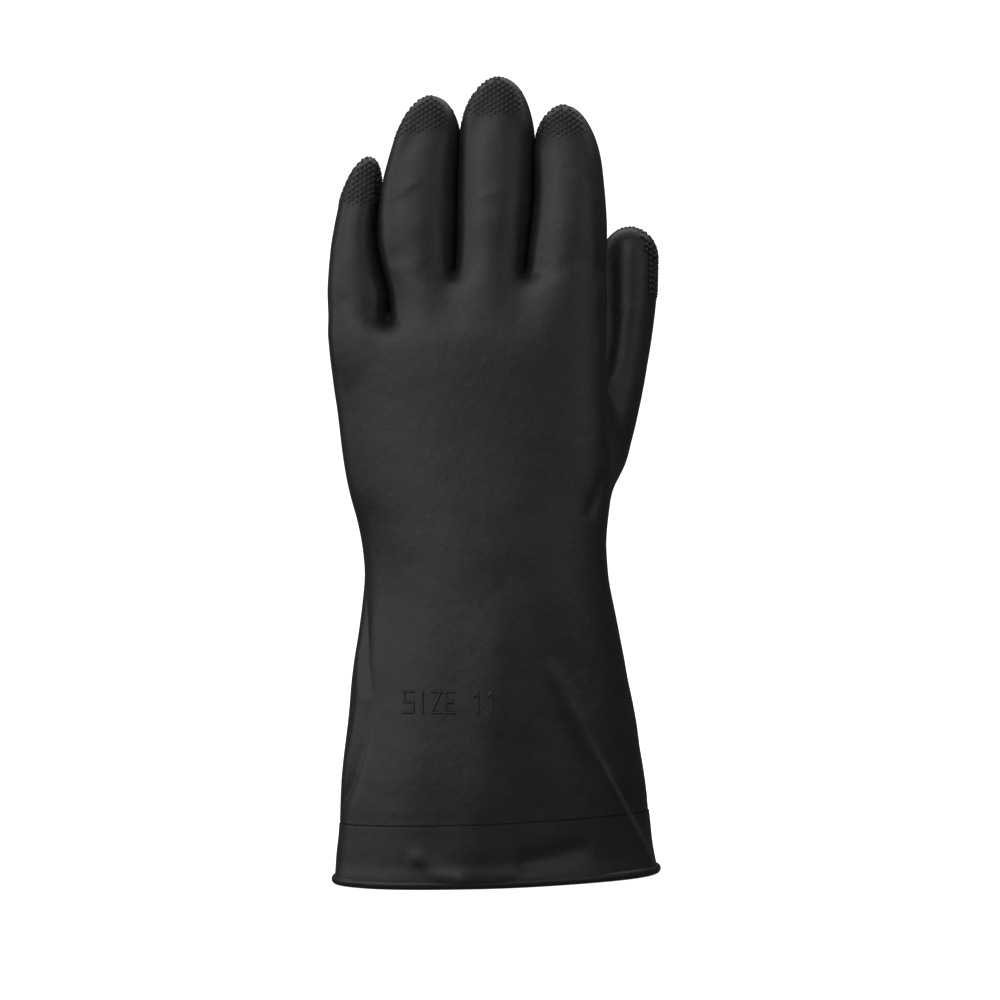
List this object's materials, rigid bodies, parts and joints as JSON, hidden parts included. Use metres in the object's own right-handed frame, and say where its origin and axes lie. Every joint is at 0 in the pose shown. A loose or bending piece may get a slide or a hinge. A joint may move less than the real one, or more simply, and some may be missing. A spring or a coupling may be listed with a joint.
{
  "type": "electrical insulating glove",
  "caption": "Left-hand dipped rubber glove with a long flared sleeve, cuff band, rolled rim and knurled fingertip grips.",
  "frame": {"origin": "on the floor, in the middle of the arm opening (the cuff's oval mouth)", "axes": "+Z from the cuff to the fingertips; +X towards the thumb; +Y towards the palm side, so the back of the hand faces -Y"},
  "size_m": [0.1498, 0.0752, 0.3601],
  "materials": {
    "black_rubber": "satin",
    "rim_rubber": "satin",
    "grip_rubber": "matte",
    "mark_rubber": "satin"
  },
  "bodies": {
    "gauntlet": {"rolled_bead": "rim_rubber", "cuff_band": "black_rubber", "sleeve": "black_rubber", "size_mark": "mark_rubber", "wrist_tilt_fold": "black_rubber"},
    "wrist": {"wrist_band": "black_rubber", "wrist_bend_fold": "black_rubber"},
    "hand": {"hand_back": "black_rubber", "palm": "black_rubber", "lower_web": "black_rubber", "knuckles": "black_rubber", "upper_web": "black_rubber", "thumb_root": "black_rubber", "thumb_swing_fold": "black_rubber", "little_root": "black_rubber", "little_root_fold": "black_rubber", "ring_root": "black_rubber", "ring_root_fold": "black_rubber", "middle_root": "black_rubber", "middle_root_fold": "black_rubber", "index_root": "black_rubber", "index_root_fold": "black_rubber"},
    "little_base": {"little_base": "black_rubber", "little_mid_fold": "black_rubber"},
    "little_middle": {"little_middle": "black_rubber", "little_tip_fold": "black_rubber"},
    "little_tip": {"little_tip": "black_rubber", "little_grip": "grip_rubber"},
    "ring_base": {"ring_base": "black_rubber", "ring_mid_fold": "black_rubber"},
    "ring_middle": {"ring_middle": "black_rubber", "ring_tip_fold": "black_rubber"},
    "ring_tip": {"ring_tip": "black_rubber", "ring_grip": "grip_rubber"},
    "middle_base": {"middle_base": "black_rubber", "middle_mid_fold": "black_rubber"},
    "middle_middle": {"middle_middle": "black_rubber", "middle_tip_fold": "black_rubber"},
    "middle_tip": {"middle_tip": "black_rubber", "middle_grip": "grip_rubber"},
    "index_base": {"index_base": "black_rubber", "index_mid_fold": "black_rubber"},
    "index_middle": {"index_middle": "black_rubber", "index_tip_fold": "black_rubber"},
    "index_tip": {"index_tip": "black_rubber", "index_grip": "grip_rubber"},
    "thumb_base": {"thumb_base": "black_rubber", "thumb_knuckle_fold": "black_rubber"},
    "thumb_middle": {"thumb_middle": "black_rubber", "thumb_tip_fold": "black_rubber"},
    "thumb_tip": {"thumb_tip": "black_rubber", "thumb_grip": "grip_rubber"}
  },
  "joints": [
    {"name": "wrist_tilt", "type": "hinge", "parent": "gauntlet", "child": "wrist", "pos_m": [-0.003, 0, 0.103], "axis": [0, 1, 0], "range_deg": [-12, 12], "stiffness_Nm_per_rad": 1.2, "deforming": ["wrist_tilt_fold"]},
    {"name": "wrist_bend", "type": "hinge", "parent": "wrist", "child": "hand", "pos_m": [-0.0055, 0, 0.15], "axis": [-1, 0, 0], "range_deg": [-35, 45], "stiffness_Nm_per_rad": 0.5, "deforming": ["wrist_bend_fold"]},
    {"name": "little_root_curl", "type": "hinge", "parent": "hand", "child": "little_base", "pos_m": [-0.06205, 0.00126, 0.26295], "axis": [-0.9981, 0, 0.061], "range_deg": [-5, 65], "stiffness_Nm_per_rad": 0.08, "deforming": ["little_root_fold"]},
    {"name": "little_mid_curl", "type": "hinge", "parent": "little_base", "child": "little_middle", "pos_m": [-0.06071, 0.00354, 0.28479], "axis": [-0.9981, 0, 0.061], "range_deg": [0, 75], "stiffness_Nm_per_rad": 0.06, "deforming": ["little_mid_fold"]},
    {"name": "little_tip_curl", "type": "hinge", "parent": "little_middle", "child": "little_tip", "pos_m": [-0.05951, 0.00676, 0.30449], "axis": [-0.9981, 0, 0.061], "range_deg": [0, 45], "stiffness_Nm_per_rad": 0.04, "deforming": ["little_tip_fold"]},
    {"name": "ring_root_curl", "type": "hinge", "parent": "hand", "child": "ring_base", "pos_m": [-0.03412, 0.00041, 0.28297], "axis": [-0.9986, 0, 0.0523], "range_deg": [-5, 65], "stiffness_Nm_per_rad": 0.08, "deforming": ["ring_root_fold"]},
    {"name": "ring_mid_curl", "type": "hinge", "parent": "ring_base", "child": "ring_middle", "pos_m": [-0.03287, 0.0021, 0.30688], "axis": [-0.9986, 0, 0.0523], "range_deg": [0, 75], "stiffness_Nm_per_rad": 0.06, "deforming": ["ring_mid_fold"]},
    {"name": "ring_tip_curl", "type": "hinge", "parent": "ring_middle", "child": "ring_tip", "pos_m": [-0.03172, 0.00473, 0.32869], "axis": [-0.9986, 0, 0.0523], "range_deg": [0, 45], "stiffness_Nm_per_rad": 0.04, "deforming": ["ring_tip_fold"]},
    {"name": "middle_root_curl", "type": "hinge", "parent": "hand", "child": "middle_base", "pos_m": [-0.00103, 0.00037, 0.28298], "axis": [-0.999, 0, 0.0436], "range_deg": [-5, 65], "stiffness_Nm_per_rad": 0.08, "deforming": ["middle_root_fold"]},
    {"name": "middle_mid_curl", "type": "hinge", "parent": "middle_base", "child": "middle_middle", "pos_m": [0.0001, 0.00201, 0.3089], "axis": [-0.999, 0, 0.0436], "range_deg": [0, 75], "stiffness_Nm_per_rad": 0.06, "deforming": ["middle_mid_fold"]},
    {"name": "middle_tip_curl", "type": "hinge", "parent": "middle_middle", "child": "middle_tip", "pos_m": [0.00114, 0.00456, 0.33274], "axis": [-0.999, 0, 0.0436], "range_deg": [0, 45], "stiffness_Nm_per_rad": 0.04, "deforming": ["middle_tip_fold"]},
    {"name": "index_root_curl", "type": "hinge", "parent": "hand", "child": "index_base", "pos_m": [0.033, 0.0004, 0.28299], "axis": [-1, 0, 0], "range_deg": [-5, 65], "stiffness_Nm_per_rad": 0.08, "deforming": ["index_root_fold"]},
    {"name": "index_mid_curl", "type": "hinge", "parent": "index_base", "child": "index_middle", "pos_m": [0.033, 0.00193, 0.30594], "axis": [-1, 0, 0], "range_deg": [0, 75], "stiffness_Nm_per_rad": 0.06, "deforming": ["index_mid_fold"]},
    {"name": "index_tip_curl", "type": "hinge", "parent": "index_middle", "child": "index_tip", "pos_m": [0.033, 0.00426, 0.32681], "axis": [-1, 0, 0], "range_deg": [0, 45], "stiffness_Nm_per_rad": 0.04, "deforming": ["index_tip_fold"]},
    {"name": "thumb_swing", "type": "hinge", "parent": "hand", "child": "thumb_base", "pos_m": [0.05183, 0.02335, 0.214], "axis": [0, 1, 0], "range_deg": [0, 35], "stiffness_Nm_per_rad": 0.08, "deforming": ["thumb_swing_fold"]},
    {"name": "thumb_knuckle_curl", "type": "hinge", "parent": "thumb_base", "child": "thumb_middle", "pos_m": [0.05804, 0.02564, 0.237], "axis": [-0.9783, 0.0137, 0.2068], "range_deg": [0, 35], "stiffness_Nm_per_rad": 0.06, "deforming": ["thumb_knuckle_fold"]},
    {"name": "thumb_tip_curl", "type": "hinge", "parent": "thumb_middle", "child": "thumb_tip", "pos_m": [0.06249, 0.02666, 0.263], "axis": [-0.9854, 0.0068, 0.17], "range_deg": [0, 50], "stiffness_Nm_per_rad": 0.05, "deforming": ["thumb_tip_fold"]}
  ],
  "couplings": [
    {"joint": "little_tip_curl", "follows": "little_mid_curl", "ratio": 0.6},
    {"joint": "ring_tip_curl", "follows": "ring_mid_curl", "ratio": 0.6},
    {"joint": "middle_tip_curl", "follows": "middle_mid_curl", "ratio": 0.6},
    {"joint": "index_tip_curl", "follows": "index_mid_curl", "ratio": 0.6}
  ]
}
